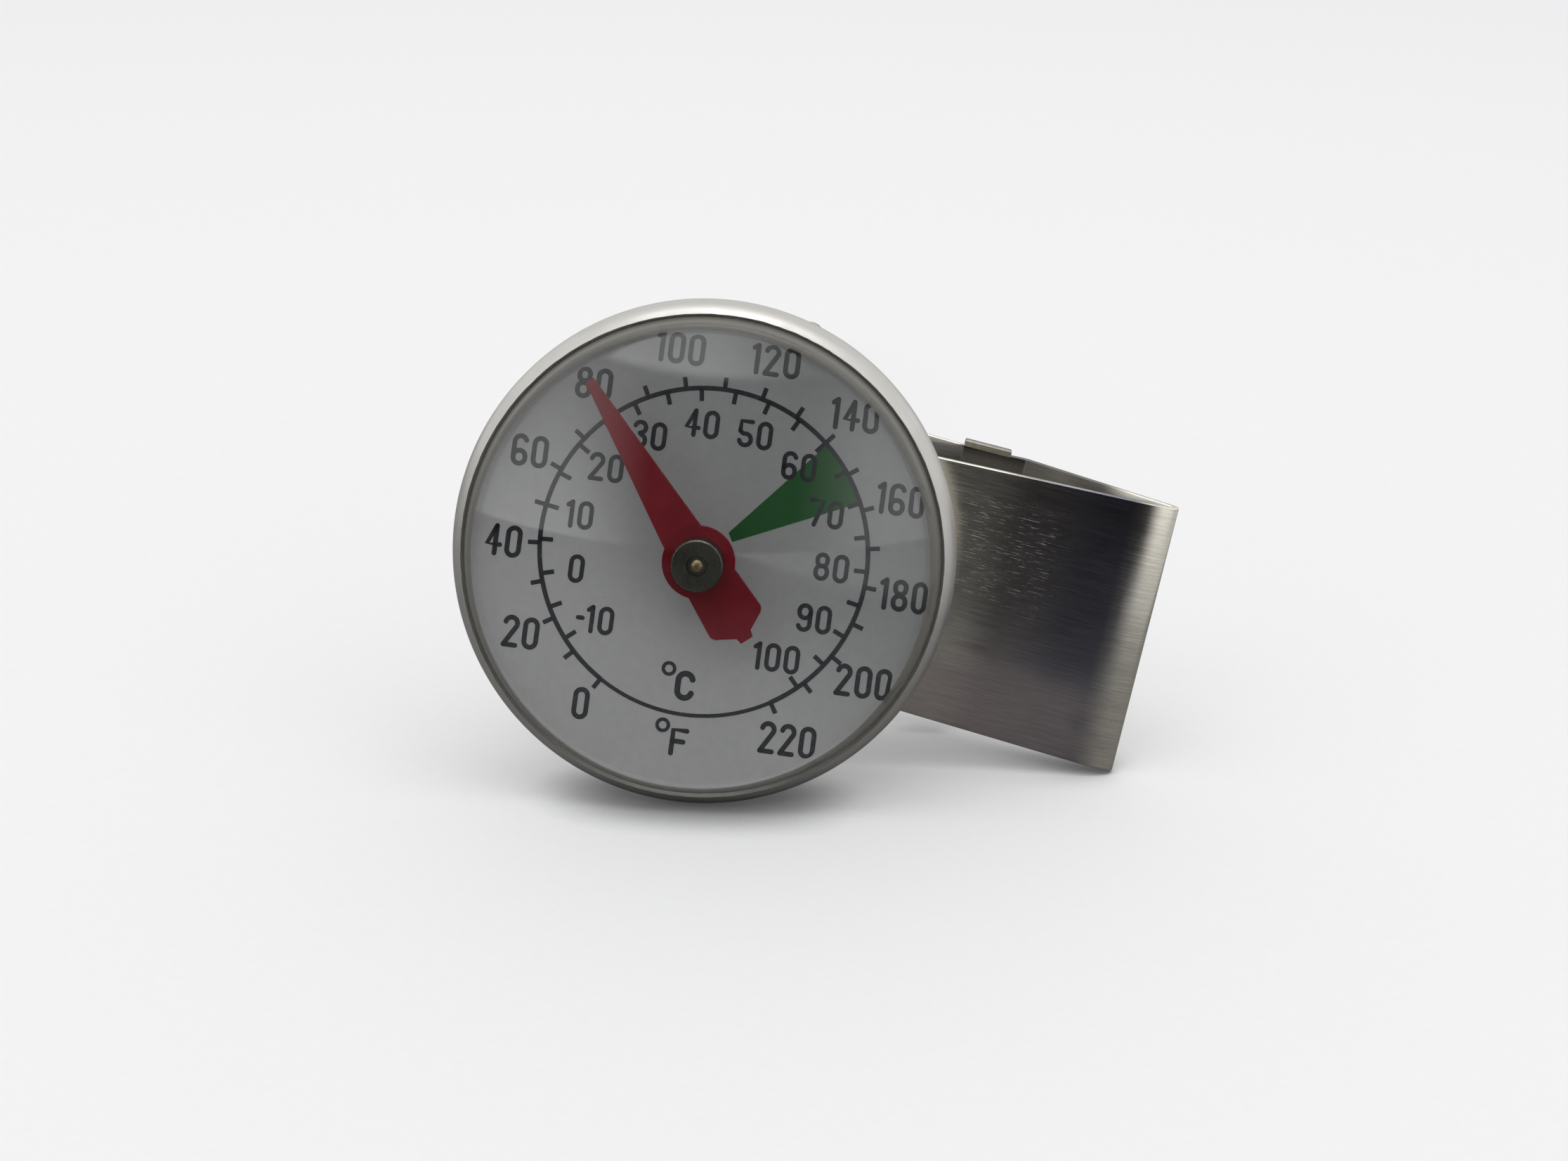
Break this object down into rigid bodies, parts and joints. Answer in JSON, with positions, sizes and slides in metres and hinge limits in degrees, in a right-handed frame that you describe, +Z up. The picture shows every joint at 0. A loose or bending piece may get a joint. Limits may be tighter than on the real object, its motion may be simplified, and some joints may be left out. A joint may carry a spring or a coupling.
{
  "type": "dial thermometer",
  "caption": "Dial thermometer with a domed window, red pointer and straight back stem, and a folded strip clip that slides and swings on the stem.",
  "frame": {"origin": "on the stem axis, half way along the bezel's cylindrical outer wall, 1.75 mm behind the front of the lip", "axes": "+Z up as the thermometer rests on a table, -Y the way the dial faces, +X to the reader's right; the stem runs towards +Y and dips 9.00 degrees"},
  "size_m": [0.0652, 0.1384, 0.0448],
  "materials": {
    "satin_steel": "satin stainless steel",
    "clip_steel": "stainless strip, brushed along its length",
    "clear_plastic": "clear moulded plastic, gloss",
    "dial_white": "matt white print on aluminium",
    "pointer_red": "satin red paint",
    "hub_grey": "turned, dull",
    "brass": "plain",
    "gasket_rubber": "pale silicone, matt",
    "stem_steel": "polished stainless tube",
    "spring_steel": "plain",
    "bimetal": "plain strip"
  },
  "bodies": {
    "stem": {"stem_tube": "stem_steel", "stem_tip_plug": "stem_steel", "neck_ferrule": "brass", "hex_nut": "satin_steel", "friction_washer": "spring_steel", "upper_bush": "brass", "guide_bush": "brass", "helix_anchor": "brass", "bimetal_helix": "bimetal"},
    "head": {"case_back": "satin_steel", "bezel_ring": "satin_steel", "crystal": "clear_plastic", "crystal_gasket": "gasket_rubber", "dial_plate": "dial_white"},
    "indicator": {"pointer": "pointer_red", "pointer_hub": "hub_grey", "spindle": "brass", "helix_collar": "brass"},
    "clip_slider": {"clip_eyelet": "stem_steel"},
    "clip": {"clip_band": "clip_steel", "clip_tongue": "clip_steel"}
  },
  "joints": [
    {"name": "head_trim", "type": "hinge", "parent": "stem", "child": "head", "pos_m": [0, 0, 0], "axis": [0, 0.9877, -0.1565], "range_deg": [-20, 20]},
    {"name": "pointer_turn", "type": "hinge", "parent": "stem", "child": "indicator", "pos_m": [0, 0, 0], "axis": [0, 0.9877, -0.1565], "range_deg": [-109, 188], "stiffness_Nm_per_rad": 0.0005, "deforming": ["bimetal_helix"]},
    {"name": "clip_slide", "type": "slide", "parent": "stem", "child": "clip_slider", "axis": [0, 0.9877, -0.1565], "range_m": [0, 0.062]},
    {"name": "clip_swing", "type": "hinge", "parent": "clip_slider", "child": "clip", "pos_m": [0, 0, 0], "axis": [0, -0.9877, 0.1565], "continuous": true}
  ]
}
